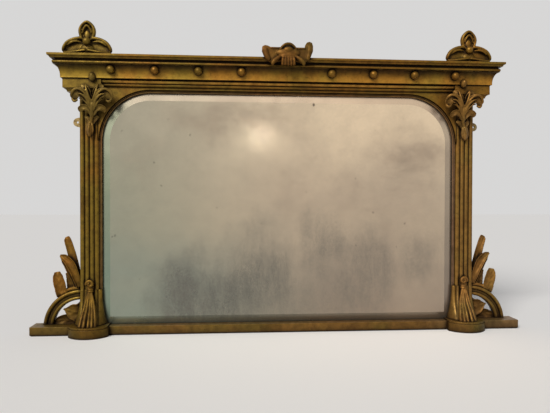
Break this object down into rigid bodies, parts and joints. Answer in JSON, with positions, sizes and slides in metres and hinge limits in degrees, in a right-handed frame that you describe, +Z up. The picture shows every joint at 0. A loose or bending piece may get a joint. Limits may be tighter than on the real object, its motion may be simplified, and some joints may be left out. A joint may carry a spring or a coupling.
{
  "type": "overmantel mirror",
  "caption": "Wide gilded overmantel mirror with reeded pilasters, arched bevelled glass, cove cornice with balls, carved leaf sprays, finials and side brackets.",
  "frame": {"origin": "midway along the base shelf, on its underside where it rests on the chimney shelf, 35 mm in front of the wall", "axes": "+X to the viewer's right along the frame, +Y back into the wall, +Z up; the front faces -Y"},
  "size_m": [1.47, 0.1146, 0.9124],
  "materials": {
    "gilding": "dull antique gold paint over gessoed pine, worn on the edges",
    "slip_gilding": "darker bronze paint",
    "pine": "bare aged pine",
    "mirror_plate": "old silvered plate, foxed and clouded, with a ground bevel",
    "brass": "tarnished brass",
    "steel": "dull screw steel"
  },
  "bodies": {
    "root": {"base_shelf": "gilding", "left_plinth": "gilding", "right_plinth": "gilding", "left_stile": "pine", "right_stile": "pine", "head_rail": "pine", "frieze_board": "gilding", "left_spandrel": "gilding", "right_spandrel": "gilding", "left_pilaster": "gilding", "right_pilaster": "gilding", "left_foot": "gilding", "right_foot": "gilding", "left_sheaf": "gilding", "right_sheaf": "gilding", "left_slip": "slip_gilding", "right_slip": "slip_gilding", "head_slip": "slip_gilding", "lower_bead": "gilding", "upper_bead": "gilding", "left_fascia_block": "gilding", "right_fascia_block": "gilding", "frieze_cove": "gilding", "left_cove_return": "gilding", "right_cove_return": "gilding", "cornice_bed": "gilding", "cornice_board": "gilding", "frieze_ball_1": "gilding", "frieze_ball_2": "gilding", "frieze_ball_3": "gilding", "frieze_ball_4": "gilding", "frieze_ball_5": "gilding", "frieze_ball_6": "gilding", "frieze_ball_7": "gilding", "frieze_ball_8": "gilding", "left_spray": "gilding", "right_spray": "gilding", "left_finial": "gilding", "right_finial": "gilding", "finial_dowels": "pine", "crest": "gilding", "left_ear_arc": "gilding", "right_ear_arc": "gilding", "left_outer_leaves": "gilding", "right_outer_leaves": "gilding", "left_inner_leaves": "gilding", "right_inner_leaves": "gilding", "mirror_glass": "mirror_plate", "glazing_blocks": "pine", "backboard_1": "pine", "backboard_2": "pine", "backboard_3": "pine", "backboard_4": "pine", "backboard_5": "pine", "backboard_screws": "steel", "left_wall_plate": "brass", "right_wall_plate": "brass", "plate_screws": "brass"}
  },
  "joints": []
}
